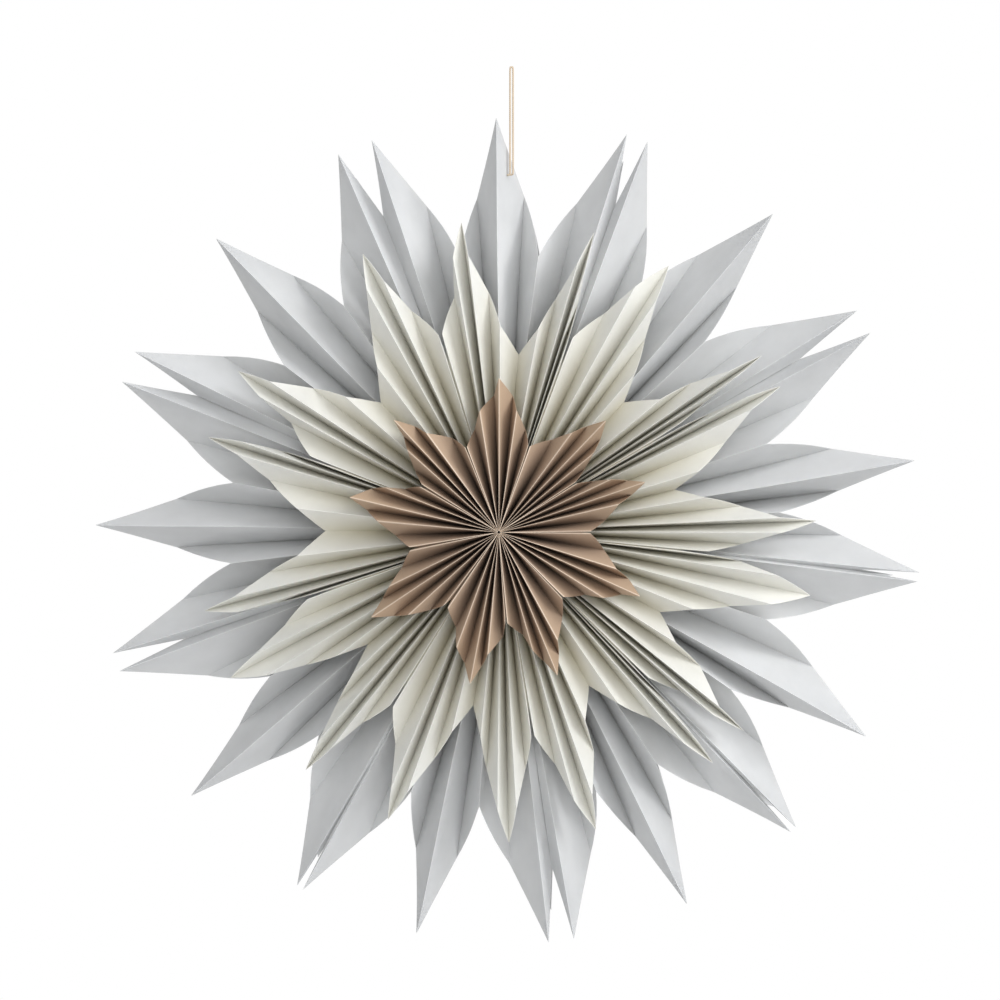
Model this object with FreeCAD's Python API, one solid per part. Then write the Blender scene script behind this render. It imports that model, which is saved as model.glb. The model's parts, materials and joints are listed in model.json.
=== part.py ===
import FreeCAD, Part
import math
import os

os.makedirs("parts", exist_ok=True)

# A hanging paper star, 600 mm across, made of four rings that are stacked one behind the other: a brown
# one in front, an ivory one, and two white ones back to back. Each ring is nine accordion-folded sheets,
# glued side by side by their end flaps. The face of the star looks along -Y and +Z is up. The origin is
# in the eye of the string loop that the star hangs from.
# All sizes are in millimetres. Azimuths are in degrees, anticlockwise from +X as seen from the front.

# Brown ring: each sheet has four pleats and is cut to one point on its middle fold.
brown_core_radius = 1.6
brown_panel_width = 20.0
brown_tip_radius = 107.5
brown_end_radius = 63.5
brown_flap_radius = 57.0

# Ivory ring: each sheet has seven pleats and two points, with a notch on the middle fold.
ivory_core_radius = 6.0
ivory_panel_width = 20.0
ivory_tip_radius = 225.5
ivory_end_radius = 147.0
ivory_shoulder_radius = 198.0
ivory_notch_radius = 127.5
ivory_flap_radius = 124.5

# White rings: each sheet has four pleats, and points on its first, middle and last fold.
white_core_radius = 5.0
white_panel_width = 44.0
white_tip_radius = 300.0
white_notch_radius = 200.0
white_flap_radius = 250.0

# Paper, measured along the star's axis, and the room left for glue.
paper_depth = 0.8
ring_gap = 0.3
seam_gap = 0.3

# String: a doubled strand, held by a knot behind the top white petal.
strand_diameter = 1.3
strand_spacing = 2.2
string_drop = 78.0
string_standoff = 4.0
hole_radius = 2.0
hole_side = 2.7
hole_height = 262.0
knot_radius = 3.2
knot_clearance = 1.2
stub_bend_radius = 1.6
twist_height = 5.0
twist_gap = 0.3

# Where the folds of each sheet lie, from its first ridge to its last. The sheets are folded and glued by
# hand, so no two open by quite the same angle, and their pleats are uneven.
brown_azimuths = [
    (71.2, 76.2, 81.7, 84.7, 90.0, 92.6, 99.1, 104.1, 110.7),
    (111.7, 117.2, 126.2, 129.2, 133.2, 135.5, 138.3, 144.4, 148.2),
    (150.0, 156.0, 158.5, 161.6, 166.9, 170.7, 174.8, 181.9, 189.5),
    (191.6, 200.1, 206.2, 209.7, 213.7, 218.4, 222.4, 228.2, 233.1),
    (235.8, 245.0, 249.7, 254.8, 259.2, 262.0, 264.8, 271.3, 274.0),
    (275.2, 282.4, 286.0, 288.6, 292.3, 295.4, 298.5, 306.1, 314.0),
    (315.0, 323.5, 327.9, 332.8, 335.7, 339.9, 342.8, 350.0, 359.6),
    (360.6, 366.4, 373.3, 375.8, 379.0, 382.0, 385.4, 388.6, 392.2),
    (393.2, 396.7, 399.9, 402.8, 406.2, 410.5, 413.8, 420.6, 430.2),
]
ivory_azimuths = [
    (70.5, 71.5, 72.1, 72.8, 74.0, 76.8, 79.4, 84.5, 90.2, 93.2, 96.7, 97.5, 99.9, 101.5, 106.5),
    (107.5, 112.3, 115.0, 116.7, 119.0, 123.2, 126.9, 133.3, 139.1, 143.1, 147.1, 148.9, 150.9, 152.9, 158.5),
    (159.3, 160.1, 160.9, 162.4, 163.7, 167.6, 173.5, 180.0, 186.9, 190.2, 193.9, 195.1, 197.1, 197.8, 198.4),
    (199.3, 203.5, 206.6, 208.4, 211.5, 214.4, 217.2, 220.2, 224.0, 226.2, 229.0, 230.6, 232.0, 234.0, 237.6),
    (238.4, 243.5, 246.8, 248.4, 250.3, 253.4, 256.3, 260.7, 264.5, 266.4, 269.4, 271.3, 273.3, 275.7, 278.6),
    (279.4, 282.9, 285.3, 287.5, 289.2, 292.6, 294.1, 299.5, 304.4, 308.7, 311.0, 312.4, 313.5, 314.1, 314.6),
    (315.4, 318.2, 319.3, 320.5, 321.4, 325.8, 327.7, 333.0, 338.2, 342.0, 345.1, 348.3, 351.1, 352.9, 353.8),
    (354.6, 357.0, 359.8, 361.9, 362.9, 366.0, 369.5, 373.5, 377.0, 381.8, 386.0, 387.5, 388.7, 389.5, 390.2),
    (391.0, 392.3, 393.2, 394.0, 395.0, 398.0, 399.6, 406.5, 409.6, 413.3, 416.0, 417.8, 421.2, 424.8, 429.6),
]
# On the white sheets these are the points and the notches, with one fold midway between each two.
white_azimuths = [
    (72.5, 82.4, 90.9, 98.8, 108.5),
    (113.5, 125.1, 134.4, 142.8, 154.1),
    (158.6, 170.0, 179.2, 186.9, 197.5),
    (200.1, 212.1, 220.4, 228.1, 240.0),
    (240.9, 250.8, 257.9, 265.2, 276.5),
    (280.0, 289.8, 296.5, 303.6, 313.9),
    (314.8, 325.3, 330.7, 341.5, 353.2),
    (354.4, 363.9, 369.7, 378.3, 388.3),
    (391.8, 403.1, 409.4, 420.2, 429.5),
]


def spread(values, count):
    """Values in equal steps, so many from each given value to the next."""
    filled = [values[0]]
    for start, end in zip(values, values[1:]):
        for step in range(1, count + 1):
            filled.append(start + (end - start) * step / count)
    return filled


def ring_folds(ring_azimuths, radii, flap_radius):
    """One list of (azimuth, radius) per sheet, from flap edge to flap edge."""
    sheets = []
    for number, azimuths in enumerate(ring_azimuths):
        last_end = ring_azimuths[number - 1][-1]
        next_start = ring_azimuths[(number + 1) % len(ring_azimuths)][0]
        if number == 0:
            last_end = last_end - 360.0
        if number == len(ring_azimuths) - 1:
            next_start = next_start + 360.0
        first_seam = (last_end + azimuths[0]) / 2
        last_seam = (azimuths[-1] + next_start) / 2
        folds = [(first_seam, flap_radius)]
        folds.extend(zip(azimuths, radii))
        folds.append((last_seam, flap_radius))
        sheets.append(folds)
    return sheets


def polar(azimuth, radius, y):
    """The point at a radius and azimuth round the star's axis."""
    angle = math.radians(azimuth)
    return FreeCAD.Vector(radius * math.cos(angle), y, radius * math.sin(angle))


def fold_lines(folds, core_radius, panel_width, ridge_y, backward):
    """Inner and outer end of every fold. Ridges lie in one plane, valleys as deep as the paper reaches."""
    lines = []
    for number, (azimuth, radius) in enumerate(folds):
        neighbours = [folds[number + side][0] for side in (-1, 1) if 0 <= number + side < len(folds)]
        steps = [abs(other - azimuth) for other in neighbours]
        step = math.radians(sum(steps) / len(steps))
        ends = []
        for reach in (core_radius, radius):
            depth = 0.0
            if number % 2 == 0:
                depth = math.sqrt(panel_width ** 2 - (reach * step) ** 2)
            ends.append(polar(azimuth, reach, ridge_y + backward * depth))
        lines.append(ends)
    return lines


def seam_shift(folds):
    """Outward move of a whole sheet that leaves the seam gap beside both of its flaps."""
    middle = (folds[0][0] + folds[-1][0]) / 2
    half_angle = math.radians((folds[-1][0] - folds[0][0]) / 2)
    return polar(middle, seam_gap / 2 / math.sin(half_angle), 0.0)


def pleated_sheet(lines, backward):
    """A folded sheet as one solid: its front panels, the same panels behind, and the cut edges."""
    thickness = FreeCAD.Vector(0, backward * paper_depth, 0)
    faces = []
    for (inner, outer), (next_inner, next_outer) in zip(lines, lines[1:]):
        for offset in (FreeCAD.Vector(), thickness):
            for corners in ((inner, outer, next_outer), (inner, next_outer, next_inner)):
                faces.append(face([corner + offset for corner in corners]))
        for start, end in ((inner, next_inner), (outer, next_outer)):
            faces.append(face([start, end, end + thickness, start + thickness]))
    for start, end in (lines[0], lines[-1]):
        faces.append(face([start, end, end + thickness, start + thickness]))
    solid = Part.Solid(Part.Shell(faces))
    if solid.Volume < 0:
        solid.reverse()
    return solid


def face(corners):
    """A flat face with straight sides."""
    return Part.Face(Part.makePolygon(corners + corners[:1]))


def moved(shape, shift):
    """A copy of a shape, moved."""
    copy = shape.copy()
    copy.translate(shift)
    return copy


def export(shape, node):
    """Write one node."""
    shape.exportStep(f"parts/{node}.step")
    print(node, shape.isValid(), round(shape.Volume, 1), len(shape.Solids))


# Depth of each ring: what is behind starts where the deepest fold in front of it ends.
brown_ridge_y = 0.0
ivory_ridge_y = brown_ridge_y + brown_panel_width + paper_depth + ring_gap
white_front_ridge_y = ivory_ridge_y + ivory_panel_width + paper_depth + ring_gap
white_rear_ridge_y = white_front_ridge_y + 2 * (white_panel_width + paper_depth) + ring_gap

brown_radii = spread((brown_end_radius, brown_tip_radius, brown_end_radius), 4)
ivory_flank = spread((ivory_end_radius, ivory_shoulder_radius), 2)
ivory_half = ivory_flank + [ivory_tip_radius] + ivory_flank[::-1]
ivory_radii = ivory_half + [ivory_notch_radius] + ivory_half
white_half = (white_tip_radius, white_notch_radius, white_tip_radius)
white_radii = spread(white_half + white_half[1:], 2)

brown_folds = ring_folds(brown_azimuths, brown_radii, brown_flap_radius)
ivory_folds = ring_folds(ivory_azimuths, ivory_radii, ivory_flap_radius)
white_folds = ring_folds([spread(azimuths, 2) for azimuths in white_azimuths], white_radii, white_flap_radius)

# The string goes through the panel just to the right of the top sheet's middle ridge.
top_lines = fold_lines(white_folds[0], white_core_radius, white_panel_width, white_front_ridge_y, 1)
middle_fold = len(top_lines) // 2
ridge_inner, ridge_outer = top_lines[middle_fold]
valley_inner, valley_outer = top_lines[middle_fold - 1]
panel_normal = (ridge_outer - valley_outer).cross(ridge_outer - valley_inner).normalize()
if panel_normal.y > 0:
    panel_normal = -panel_normal
top_shift = seam_shift(white_folds[0])
panel_corner = ridge_outer + top_shift
hole_y = panel_corner.y - (
    panel_normal.x * (hole_side - panel_corner.x) + panel_normal.z * (hole_height - panel_corner.z)
) / panel_normal.y
hole = FreeCAD.Vector(hole_side, hole_y, hole_height)
outward = FreeCAD.Vector(panel_normal.x, panel_normal.y, 0).normalize()

# From the star's own centre to the eye of the string loop.
star_shift = -(hole + outward * string_standoff) - FreeCAD.Vector(0, 0, string_drop)

rings = [
    ("brown_sheet", brown_folds, brown_core_radius, brown_panel_width, brown_ridge_y, 1),
    ("ivory_sheet", ivory_folds, ivory_core_radius, ivory_panel_width, ivory_ridge_y, 1),
    ("white_front_sheet", white_folds, white_core_radius, white_panel_width, white_front_ridge_y, 1),
    ("white_rear_sheet", white_folds, white_core_radius, white_panel_width, white_rear_ridge_y, -1),
]
for ring_name, folds_of_ring, core_radius, panel_width, ridge_y, backward in rings:
    for number, folds in enumerate(folds_of_ring):
        lines = fold_lines(folds, core_radius, panel_width, ridge_y, backward)
        sheet = moved(pleated_sheet(lines, backward), seam_shift(folds))
        if ring_name == "white_front_sheet" and number == 0:
            reach = hole_radius * 4
            drill = Part.makeCylinder(hole_radius, 2 * reach, hole - panel_normal * reach, panel_normal)
            sheet = sheet.cut(drill).Solids[0]
        export(moved(sheet, star_shift), f"{ring_name}_{number + 1}")


def round_string(path):
    """A strand of string along a path of straight runs and arcs."""
    wire = Part.Wire(path)
    start = wire.OrderedVertexes[0].Point
    direction = wire.OrderedEdges[0].tangentAt(wire.OrderedEdges[0].FirstParameter)
    section = Part.Wire(Part.makeCircle(strand_diameter / 2, start, direction))
    return wire.makePipeShell([section], True, True)


# Loop of string: two strands side by side, joined by the tight turn at the top that is the eye.
half_spacing = strand_spacing / 2
hole_z = -string_drop
twist_z = hole_z + twist_height
strand_end_z = twist_z + twist_gap / 2
left_top = FreeCAD.Vector(-half_spacing, 0, 0)
right_top = FreeCAD.Vector(half_spacing, 0, 0)
crown = FreeCAD.Vector(0, 0, half_spacing)
left_end = FreeCAD.Vector(-half_spacing, 0, strand_end_z)
right_end = FreeCAD.Vector(half_spacing, 0, strand_end_z)
loop_path = [
    Part.LineSegment(left_end, left_top).toShape(),
    Part.Arc(left_top, crown, right_top).toShape(),
    Part.LineSegment(right_top, right_end).toShape(),
]
hanging_cord = round_string(loop_path)
loop_length = sum(edge.Length for edge in loop_path)
loop_volume = loop_length * math.pi * (strand_diameter / 2) ** 2
print("cord length", round(loop_length, 1), "volume", round(hanging_cord.Volume, 1), round(loop_volume, 1))
print("cord radius at the eye", half_spacing)
export(hanging_cord, "hanging_cord")

# Knot behind the petal, with the two short ends of string that come down to the hole and turn into it.
knot_centre = -outward * (string_standoff + knot_clearance + knot_radius)
knot_centre.z = hole_z
stopper_knot = Part.makeSphere(knot_radius, knot_centre)
for side in (-half_spacing, half_spacing):
    stub_top = FreeCAD.Vector(side, 0, twist_z - twist_gap / 2)
    bend_start = FreeCAD.Vector(side, 0, hole_z + stub_bend_radius)
    bend_centre = bend_start - outward * stub_bend_radius
    bend_middle = bend_centre + (outward - FreeCAD.Vector(0, 0, 1)).normalize() * stub_bend_radius
    bend_end = bend_centre - FreeCAD.Vector(0, 0, stub_bend_radius)
    stub_end = bend_end - outward * (string_standoff + knot_clearance + knot_radius - stub_bend_radius)
    stub_path = [
        Part.LineSegment(stub_top, bend_start).toShape(),
        Part.Arc(bend_start, bend_middle, bend_end).toShape(),
        Part.LineSegment(bend_end, stub_end).toShape(),
    ]
    stopper_knot = stopper_knot.fuse(round_string(stub_path))
export(stopper_knot.removeSplitter(), "stopper_knot")

tilt_axis = -outward * string_standoff + FreeCAD.Vector(0, 0, hole_z)
print("tilt axis passes through", [round(value, 3) for value in tilt_axis])
print("star centre", [round(value, 3) for value in star_shift])
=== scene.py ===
import json
import math
import random

import bpy
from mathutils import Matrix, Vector


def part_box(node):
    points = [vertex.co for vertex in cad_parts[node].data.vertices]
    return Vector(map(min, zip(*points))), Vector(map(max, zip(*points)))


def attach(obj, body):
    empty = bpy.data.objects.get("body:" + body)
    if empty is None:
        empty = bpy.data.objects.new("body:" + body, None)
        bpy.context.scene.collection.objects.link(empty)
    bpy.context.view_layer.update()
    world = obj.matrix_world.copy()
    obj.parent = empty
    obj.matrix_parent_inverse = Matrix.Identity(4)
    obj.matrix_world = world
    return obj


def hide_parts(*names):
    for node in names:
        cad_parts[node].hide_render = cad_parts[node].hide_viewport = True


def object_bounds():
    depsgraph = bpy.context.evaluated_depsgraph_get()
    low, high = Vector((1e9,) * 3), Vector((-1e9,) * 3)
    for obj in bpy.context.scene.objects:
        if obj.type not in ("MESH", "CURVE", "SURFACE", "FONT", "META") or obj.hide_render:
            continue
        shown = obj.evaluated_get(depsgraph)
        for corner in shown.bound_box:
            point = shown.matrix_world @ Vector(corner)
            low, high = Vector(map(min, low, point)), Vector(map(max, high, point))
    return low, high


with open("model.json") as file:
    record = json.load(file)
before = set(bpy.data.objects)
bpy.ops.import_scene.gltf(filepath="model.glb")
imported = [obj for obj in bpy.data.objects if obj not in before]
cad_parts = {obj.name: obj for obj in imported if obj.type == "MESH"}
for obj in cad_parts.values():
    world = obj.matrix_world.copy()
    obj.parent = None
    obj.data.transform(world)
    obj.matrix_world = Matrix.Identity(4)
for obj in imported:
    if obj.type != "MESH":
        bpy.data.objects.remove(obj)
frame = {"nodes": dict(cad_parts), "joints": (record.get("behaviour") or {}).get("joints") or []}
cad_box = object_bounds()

bpy.ops.object.select_all(action="DESELECT")

# ---------------------------------------------------------------------------------------------------------
# Viewpoint. The star hangs at head height and is seen nearly square on, from a little to the right of its
# own axis and level with it, at about twice its width away.
hole = Vector(next(joint["pos_m"] for joint in frame["joints"] if joint["name"] == "petal_tilt"))
hole_from_centre = Vector((0.0027, 0.0, 0.262))
star_centre = hole - hole_from_centre
star_centre.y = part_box("white_front_sheet_3")[0][1]
view_distance = 1.1405
view_right = math.radians(3.1)
view_up = math.radians(0.15)
view_offset = Vector((-0.0015, 0.0, 0.0225))
view_back = Vector((
    math.sin(view_right) * math.cos(view_up),
    -math.cos(view_right) * math.cos(view_up),
    math.sin(view_up),
))
bpy.ops.object.camera_add(location=star_centre + view_offset + view_back * view_distance)
camera = bpy.context.object
camera.name = "viewpoint"
camera.rotation_mode = "QUATERNION"
camera.rotation_quaternion = view_back.to_track_quat("Z", "Y")
camera.data.lens = 56.5
bpy.context.scene.camera = camera

# ---------------------------------------------------------------------------------------------------------
# Hanging string. A straw-coloured twisted thread, doubled into one loop: both strands rise side by side
# from the hole in the top petal to the small eye that a hook or a pin goes through.
strand_diameter = 0.0013
string_route = [
    (-0.0011, 0.0, -0.07285),
    (-0.0011, 0.0, -0.0080),
    (-0.0011, 0.0, 0.000456),
    (-0.000456, 0.0, 0.0011),
    (0.000456, 0.0, 0.0011),
    (0.0011, 0.0, 0.000456),
    (0.0011, 0.0, -0.0080),
    (0.0011, 0.0, -0.07285),
]


def string_material():
    """Twisted thread: diagonal plies, fine fuzz, and colour darker in the grooves between plies as painted
    shade.
    """
    material = bpy.data.materials.new("straw_thread")
    material.use_nodes = True
    nodes = material.node_tree.nodes
    links = material.node_tree.links
    shader = nodes["Principled BSDF"]
    shader.inputs["Roughness"].default_value = 0.85
    place = nodes.new("ShaderNodeTexCoord")
    plies = nodes.new("ShaderNodeTexWave")
    plies.bands_direction = "DIAGONAL"
    plies.inputs["Scale"].default_value = 420.0
    plies.inputs["Distortion"].default_value = 0.6
    plies.inputs["Detail"].default_value = 2.0
    fuzz = nodes.new("ShaderNodeTexNoise")
    fuzz.inputs["Scale"].default_value = 2600.0
    fuzz.inputs["Detail"].default_value = 4.0
    # Painted shade: the colour follows the plies, darker in the grooves between them where the bump is low.
    colours = nodes.new("ShaderNodeValToRGB")
    colours.color_ramp.elements[0].color = (0.36, 0.27, 0.19, 1)
    colours.color_ramp.elements[1].color = (0.80, 0.67, 0.50, 1)
    relief = nodes.new("ShaderNodeMath")
    relief.operation = "ADD"
    bump = nodes.new("ShaderNodeBump")
    bump.inputs["Strength"].default_value = 0.7
    bump.inputs["Distance"].default_value = 0.0002
    links.new(place.outputs["Object"], plies.inputs["Vector"])
    links.new(place.outputs["Object"], fuzz.inputs["Vector"])
    links.new(plies.outputs["Fac"], colours.inputs["Fac"])
    links.new(colours.outputs["Color"], shader.inputs["Base Color"])
    links.new(plies.outputs["Fac"], relief.inputs[0])
    links.new(fuzz.outputs["Fac"], relief.inputs[1])
    links.new(relief.outputs["Value"], bump.inputs["Height"])
    links.new(bump.outputs["Normal"], shader.inputs["Normal"])
    return material


def strand(name, route, width):
    """A strand of thread along a given route."""
    curve = bpy.data.curves.new(name, "CURVE")
    curve.dimensions = "3D"
    curve.bevel_depth = width / 2
    curve.bevel_resolution = 4
    curve.resolution_u = 12
    curve.use_fill_caps = True
    spline = curve.splines.new("NURBS")
    spline.points.add(len(route) - 1)
    for point, place in zip(spline.points, route):
        point.co = (*place, 1.0)
    spline.order_u = 3
    spline.use_endpoint_u = True
    piece = bpy.data.objects.new(name, curve)
    bpy.context.scene.collection.objects.link(piece)
    return piece


thread = string_material()
string_loop = strand("string_loop", string_route, strand_diameter)
string_loop.data.materials.append(thread)
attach(string_loop, "string_loop")
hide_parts("hanging_cord")

# ---------------------------------------------------------------------------------------------------------
# Stopper knot. The two ends of the string turn in through the hole and are tied behind the petal in a
# small tight knot, which is too big to come back through. The string's short tails stick out of it.
knot_low, knot_high = (Vector(corner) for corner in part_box("stopper_knot"))
knot_radius = 0.0032
knot_centre = Vector((knot_low.x + knot_radius, knot_high.y - knot_radius, hole.z))
into_petal = (knot_centre - hole).normalized()
knot_turns = 48
knot_size = 0.00078
half_spacing = 0.0011


def trefoil(step):
    """A point on the knot's own path, which crosses over itself three times."""
    turn = 2 * math.pi * step / knot_turns
    across = math.sin(turn) + 2 * math.sin(2 * turn)
    upward = math.cos(turn) - 2 * math.cos(2 * turn)
    inward = -1.15 * math.sin(3 * turn)
    side = into_petal.cross(Vector((0, 0, 1)))
    return knot_centre + (side * across + Vector((0, 0, 1)) * upward + into_petal * inward) * knot_size


knot_pieces = [strand("knot_turns", [trefoil(step) for step in range(knot_turns)], strand_diameter)]
knot_pieces[0].data.splines[0].use_endpoint_u = False
knot_pieces[0].data.splines[0].use_cyclic_u = True
for side in (-half_spacing, half_spacing):
    stub_route = [
        (side, 0.0, hole.z + 0.00485),
        (side, 0.0, hole.z + 0.0022),
        (side, 0.0, hole.z),
        tuple(hole * 0.55 + Vector((side, 0.0, hole.z)) * 0.45),
        tuple(hole + into_petal * 0.0015 + Vector((side * 0.4, 0, 0))),
        tuple(knot_centre - into_petal * 0.0012 + Vector((side * 0.2, 0, 0))),
    ]
    knot_pieces.append(strand("string_end", stub_route, strand_diameter))
    tail_route = [
        tuple(knot_centre),
        tuple(knot_centre + into_petal * 0.0012 + Vector((side, 0, -0.0012))),
        tuple(knot_centre + into_petal * 0.0018 + Vector((side * 1.6, 0, -0.0034))),
    ]
    knot_pieces.append(strand("string_tail", tail_route, strand_diameter))
for piece in knot_pieces:
    piece.select_set(True)
bpy.context.view_layer.objects.active = knot_pieces[0]
bpy.ops.object.convert(target="MESH")
bpy.ops.object.join()
string_knot = bpy.context.object
string_knot.name = "string_knot"
string_knot.data.materials.clear()
string_knot.data.materials.append(thread)
bpy.ops.object.shade_smooth()
bpy.ops.object.select_all(action="DESELECT")
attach(string_knot, "knot")
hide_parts("stopper_knot")

# ---------------------------------------------------------------------------------------------------------
# Brown ring. Nine sheets of brown kraft paper, each folded like a fan into four pleats and cut slantwise to
# one point, are glued side by side by their end flaps and pulled round into a ring.
paper_thickness = 0.00025
brown_core = 0.0010
brown_width = 0.020
hole_rim = 0.004
core_reach = 0.03
flap_slope = 2.2
wave_count = 5
smooth_below = math.radians(24)


def folds_of(node):
    """Azimuth, radius and depth of the outer end of each fold of a sheet, from one flap edge to the other."""
    corners = {}
    for vertex in frame["nodes"][node].data.vertices:
        from_hole = vertex.co - hole
        if from_hole.xz.length < hole_rim:
            continue
        from_axis = (vertex.co - star_centre).xz
        if from_axis.length < core_reach:
            continue
        place = (round(from_axis.x, 5), round(from_axis.y, 5))
        corners.setdefault(place, []).append(vertex.co.y)
    backward = -1 if node.startswith("white_rear") else 1
    middle = sum((Vector(place) for place in corners), Vector((0, 0))).normalized()
    folds = []
    for place, depths in corners.items():
        spot = Vector(place)
        turned = math.atan2(middle.cross(spot), middle.dot(spot))
        folds.append((turned, spot.length, min(depths) if backward == 1 else max(depths)))
    folds.sort()
    return middle, folds


def folded_sheet(node, core, width, bow, columns, rows, waver, seed):
    """A flat grid of paper, folded into pleats between the folds of its CAD node."""
    middle, folds = folds_of(node)
    backward = -1 if node.startswith("white_rear") else 1
    ridge_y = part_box(node)[0][1] if backward == 1 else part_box(node)[1][1]
    start = math.atan2(middle.y, middle.x)
    panels = len(folds) - 1
    places = len(columns) - 1
    bpy.ops.mesh.primitive_grid_add(x_subdivisions=panels * places, y_subdivisions=rows, size=1)
    sheet = bpy.context.object
    sheet.name = node + "_paper"
    mesh = sheet.data
    steps = []
    for number in range(len(folds)):
        gaps = [
            abs(folds[other][0] - folds[number][0])
            for other in (number - 1, number + 1)
            if 0 <= other < len(folds)
        ]
        steps.append(sum(gaps) / len(gaps))
    draw = random.Random(seed)
    waves = [(draw.uniform(6, 15), draw.uniform(15, 42), draw.uniform(0, 6.3)) for _ in range(wave_count)]
    paper_place = {}
    for vertex in mesh.vertices:
        column = round((vertex.co.x + 0.5) * panels * places)
        row = round((vertex.co.y + 0.5) * rows)
        panel = min(column // places, panels - 1)
        across = columns[column - panel * places]
        along = row / rows
        ridge, valley = (panel, panel + 1) if panel % 2 == 1 else (panel + 1, panel)
        share = across if panel % 2 == 1 else 1 - across
        radius = folds[ridge][1] + (folds[valley][1] - folds[ridge][1]) * share
        radius = core + (radius - core) * along
        lean = bow * along ** 2 * share * (1 - share)
        turned = folds[ridge][0] + (folds[valley][0] - folds[ridge][0]) * (share - lean)
        valley_depth = math.sqrt(max(width ** 2 - (radius * steps[valley]) ** 2, 0))
        if valley in (0, len(folds) - 1):
            valley_depth = min(valley_depth, flap_slope * radius * steps[valley])
        depth = valley_depth * (share + lean)
        edge = math.sin(math.pi * column / (panels * places))
        bend = sum(math.sin(wave[0] * turned + wave[1] * radius + wave[2]) for wave in waves)
        depth += waver * bend * (along ** 2)
        turned += 0.25 * waver * math.sin(waves[0][1] * radius + waves[1][2] + 3 * turned) * edge / 0.1
        angle = start + turned
        vertex.co = (
            star_centre.x + radius * math.cos(angle),
            ridge_y + backward * depth,
            star_centre.z + radius * math.sin(angle),
        )
        paper_place[vertex.index] = (panel + across, radius * 10)
    uv = mesh.uv_layers.active.data
    for loop in mesh.loops:
        uv[loop.index].uv = paper_place[loop.vertex_index]
    solidify = sheet.modifiers.new("paper", "SOLIDIFY")
    solidify.thickness = paper_thickness
    solidify.offset = 0.0
    bpy.ops.object.modifier_apply(modifier=solidify.name)
    bpy.ops.object.mode_set(mode="EDIT")
    bpy.ops.mesh.select_all(action="SELECT")
    bpy.ops.mesh.normals_make_consistent(inside=False)
    bpy.ops.object.mode_set(mode="OBJECT")
    bpy.ops.object.shade_smooth_by_angle(angle=smooth_below)
    bpy.ops.object.select_all(action="DESELECT")
    return sheet


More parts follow.
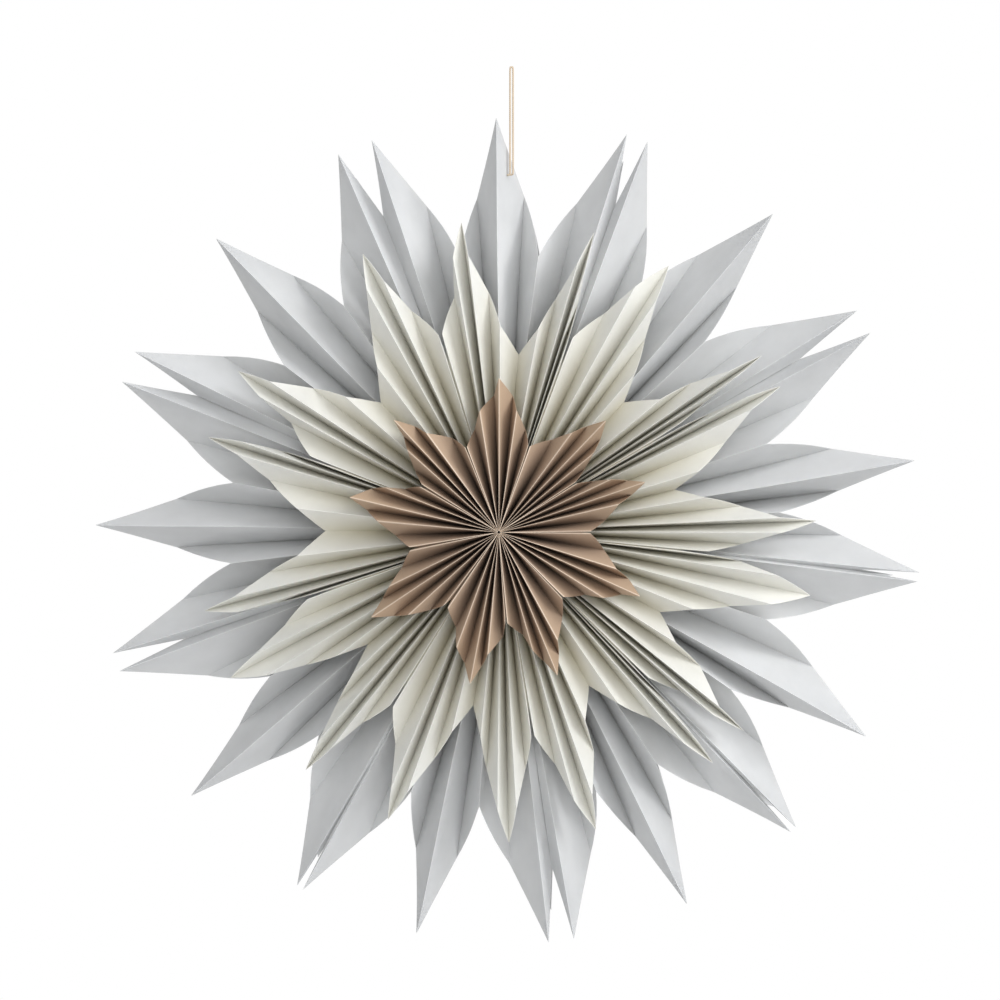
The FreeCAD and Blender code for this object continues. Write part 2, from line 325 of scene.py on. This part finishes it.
def paper_material(name, middle, outer, reach, ridge, valley, speckle, crease, translucency):
    """Uncoated paper: mottled pulp, fine fibres, ridges lightened partly by wear and partly as a painted
    highlight, and valleys darkened as painted shade.

    The colour runs from one at the middle of the ring to another at the points; this gradient is painted
    shade.
    """
    material = bpy.data.materials.new(name)
    material.use_nodes = True
    nodes = material.node_tree.nodes
    links = material.node_tree.links
    shader = nodes["Principled BSDF"]
    shader.inputs["Specular IOR Level"].default_value = 0.2
    shader.inputs["Subsurface Weight"].default_value = translucency
    shader.inputs["Subsurface Radius"].default_value = (1.0, 0.97, 0.9)
    shader.inputs["Subsurface Scale"].default_value = 0.0012
    place = nodes.new("ShaderNodeTexCoord")

    def noise(scale, detail, stretch=None):
        texture = nodes.new("ShaderNodeTexNoise")
        texture.inputs["Scale"].default_value = scale
        texture.inputs["Detail"].default_value = detail
        if stretch:
            mapping = nodes.new("ShaderNodeMapping")
            mapping.inputs["Scale"].default_value = stretch
            links.new(place.outputs["Object"], mapping.inputs["Vector"])
            links.new(mapping.outputs["Vector"], texture.inputs["Vector"])
        else:
            links.new(place.outputs["Object"], texture.inputs["Vector"])
        return texture.outputs["Fac"]

    def blend(factor, first, second, kind="MIX"):
        mix = nodes.new("ShaderNodeMix")
        mix.data_type = "RGBA"
        mix.blend_type = kind
        for socket, value in ((mix.inputs[6], first), (mix.inputs[7], second)):
            if isinstance(value, tuple):
                socket.default_value = (*value, 1)
            else:
                links.new(value, socket)
        links.new(factor, mix.inputs[0])
        return mix.outputs[2]

    def remap(value, low, high, out_low=0.0, out_high=1.0):
        span = nodes.new("ShaderNodeMapRange")
        span.inputs["From Min"].default_value = low
        span.inputs["From Max"].default_value = high
        span.inputs["To Min"].default_value = out_low
        span.inputs["To Max"].default_value = out_high
        links.new(value, span.inputs["Value"])
        return span.outputs["Result"]

    def product(first, second):
        times = nodes.new("ShaderNodeMath")
        times.operation = "MULTIPLY"
        links.new(first, times.inputs[0])
        links.new(second, times.inputs[1])
        return times.outputs["Value"]

    split = nodes.new("ShaderNodeSeparateXYZ")
    links.new(place.outputs["UV"], split.inputs["Vector"])
    radius = split.outputs["Y"]
    pleat = nodes.new("ShaderNodeMath")
    pleat.operation = "PINGPONG"
    pleat.inputs[1].default_value = 1.0
    links.new(split.outputs["X"], pleat.inputs[0])
    fold = pleat.outputs["Value"]
    pulp = noise(38.0, 3.0)
    fibres = noise(1.0, 5.0, (900.0, 900.0, 260.0))
    grain = noise(2400.0, 3.0)
    # Painted shade: the colour runs with radius from the middle colour to the outer one, standing in for
    # light and shade.
    surface = blend(remap(radius, 0.0, reach), middle, outer)
    surface = blend(remap(pulp, 0.3, 0.7), surface, (0.93, 0.93, 0.93), "MULTIPLY")
    surface = blend(remap(fibres, 0.62, 0.78, 0.0, speckle), surface, (0.6, 0.58, 0.55), "MULTIPLY")
    surface = blend(remap(grain, 0.66, 0.8, 0.0, speckle), surface, ridge)
    # Painted shade: valleys are darkened towards the valley colour, most towards the middle of the ring.
    depth = product(remap(fold, 0.9, 0.1), remap(radius, 0.1 * reach, 0.8 * reach, 1.0, 0.12))
    surface = blend(depth, surface, valley, "MULTIPLY")
    # Partly crease wear, partly painted highlight: ridges are lightened towards the ridge colour, most
    # towards the middle.
    crease_wear_and_painted_highlight = product(remap(fold, 1 - crease, 1.0), remap(radius, 0.0, reach, 1.0, 0.5))
    surface = blend(crease_wear_and_painted_highlight, surface, ridge)
    links.new(surface, shader.inputs["Base Color"])
    links.new(remap(pulp, 0.3, 0.7, 0.72, 0.9), shader.inputs["Roughness"])
    height = nodes.new("ShaderNodeMath")
    height.operation = "ADD"
    links.new(fibres, height.inputs[0])
    links.new(grain, height.inputs[1])
    bump = nodes.new("ShaderNodeBump")
    bump.inputs["Strength"].default_value = 0.25
    bump.inputs["Distance"].default_value = 0.0002
    links.new(height.outputs["Value"], bump.inputs["Height"])
    links.new(bump.outputs["Normal"], shader.inputs["Normal"])
    return material


# Painted shade: valleys darkened nearly to black, paper a little darker towards the middle; ridges lightened
# by wear and painted highlight.
brown_paper = paper_material(
    "brown_kraft_paper",
    middle=(0.40, 0.30, 0.235),
    outer=(0.45, 0.325, 0.225),
    reach=1.1,
    ridge=(0.88, 0.76, 0.63),
    valley=(0.07, 0.05, 0.04),
    speckle=0.35,
    crease=0.08,
    translucency=0.0,
)
brown_columns = (0.0, 0.03, 0.2, 0.4, 0.6, 0.8, 0.97, 1.0)
for number in range(1, 10):
    node = f"brown_sheet_{number}"
    sheet = folded_sheet(node, brown_core, brown_width, 0.05, brown_columns, 22, 0.00018, number)
    sheet.data.materials.append(brown_paper)
    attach(sheet, "star")
    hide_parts(node)

# ---------------------------------------------------------------------------------------------------------
# Ivory ring. Nine sheets of thin ivory paper, each folded into seven narrow pleats and cut to two points
# with a notch between them. It is glued behind the brown ring and shows about as far again.
ivory_core = 0.006
ivory_width = 0.020
# Painted shade: olive valleys and a darker olive middle stand in for shade near the brown ring; ridges
# lightened by wear and painted highlight.
ivory_paper = paper_material(
    "ivory_paper",
    middle=(0.58, 0.55, 0.46),
    outer=(0.74, 0.74, 0.70),
    reach=2.0,
    ridge=(0.86, 0.85, 0.80),
    valley=(0.66, 0.60, 0.42),
    speckle=0.12,
    crease=0.03,
    translucency=0.45,
)
ivory_columns = (0.0, 0.03, 0.25, 0.5, 0.75, 0.97, 1.0)
for number in range(1, 10):
    node = f"ivory_sheet_{number}"
    sheet = folded_sheet(node, ivory_core, ivory_width, 0.12, ivory_columns, 34, 0.00022, 20 + number)
    sheet.data.materials.append(ivory_paper)
    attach(sheet, "star")
    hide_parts(node)

# ---------------------------------------------------------------------------------------------------------
# White rings. Two rings of nine large white sheets stand back to back. Each sheet has wide pleats and is
# cut to a point on its first, middle and last ridge, so the end points of neighbours stand in pairs.
white_core = 0.005
white_width = 0.044
# Painted shade: the white greys towards the points (0.96 to 0.51), valleys darken slightly; ridge lines
# tinted by wear and painted highlight.
white_paper = paper_material(
    "white_paper",
    middle=(0.96, 0.965, 0.96),
    outer=(0.51, 0.52, 0.53),
    reach=3.0,
    ridge=(0.88, 0.89, 0.90),
    valley=(0.94, 0.94, 0.92),
    speckle=0.08,
    crease=0.012,
    translucency=0.5,
)
white_columns = (0.0, 0.012, 0.15, 0.3, 0.45, 0.6, 0.8, 0.988, 1.0)
for place, side in enumerate(("front", "rear")):
    for number in range(1, 10):
        node = f"white_{side}_sheet_{number}"
        seed = 40 + 20 * place + number
        sheet = folded_sheet(node, white_core, white_width, 0.22, white_columns, 40, 0.0006, seed)
        sheet.data.materials.append(white_paper)
        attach(sheet, "star")
        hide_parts(node)

# ---------------------------------------------------------------------------------------------------------
# Studio. A plain white floor well below the star, soft lights from the upper right, from in front and from
# overhead, and even white light from all round. The room looks pure white and lights the star more dimly.
floor_z = cad_box[0][2] - 0.8
bpy.ops.mesh.primitive_plane_add(size=2.6, location=(0, 0, floor_z))
floor = bpy.context.object
floor.name = "floor"
floor_material = bpy.data.materials.new("pale_floor")
floor_material.use_nodes = True
floor_shader = floor_material.node_tree.nodes["Principled BSDF"]
floor_shader.inputs["Base Color"].default_value = (0.95, 0.95, 0.95, 1)
floor_shader.inputs["Roughness"].default_value = 0.9
floor.data.materials.append(floor_material)


def soft_light(name, place, size, power):
    """A square light that faces the star."""
    bpy.ops.object.light_add(type="AREA", location=place)
    light = bpy.context.object
    light.name = name
    light.data.size = size
    light.data.energy = power
    light.rotation_mode = "QUATERNION"
    light.rotation_quaternion = (Vector(place) - star_centre).to_track_quat("Z", "Y")


soft_light("window_light", star_centre + Vector((1.5, -0.8, 0.9)), 1.0, 20)
soft_light("room_light", star_centre + Vector((0.5, -2.2, 0.5)), 2.4, 30)
soft_light("overhead_light", star_centre + Vector((0.0, 0.6, 2.2)), 3.0, 12)
room_strength = 0.64
world = bpy.data.worlds.new("white_room")
world.use_nodes = True
world_nodes = world.node_tree.nodes
room_white = world_nodes["Background"]
room_white.inputs["Color"].default_value = (1.0, 1.0, 1.0, 1)
room_white.inputs["Strength"].default_value = room_strength
seen_white = world_nodes.new("ShaderNodeBackground")
seen_white.inputs["Color"].default_value = (1.0, 1.0, 1.0, 1)
seen_white.inputs["Strength"].default_value = 1.0
ray = world_nodes.new("ShaderNodeLightPath")
room_or_seen = world_nodes.new("ShaderNodeMixShader")
world.node_tree.links.new(ray.outputs["Is Camera Ray"], room_or_seen.inputs[0])
world.node_tree.links.new(room_white.outputs["Background"], room_or_seen.inputs[1])
world.node_tree.links.new(seen_white.outputs["Background"], room_or_seen.inputs[2])
world.node_tree.links.new(room_or_seen.outputs["Shader"], world_nodes["World Output"].inputs["Surface"])
bpy.context.scene.world = world
bpy.context.scene.view_settings.view_transform = "Standard"
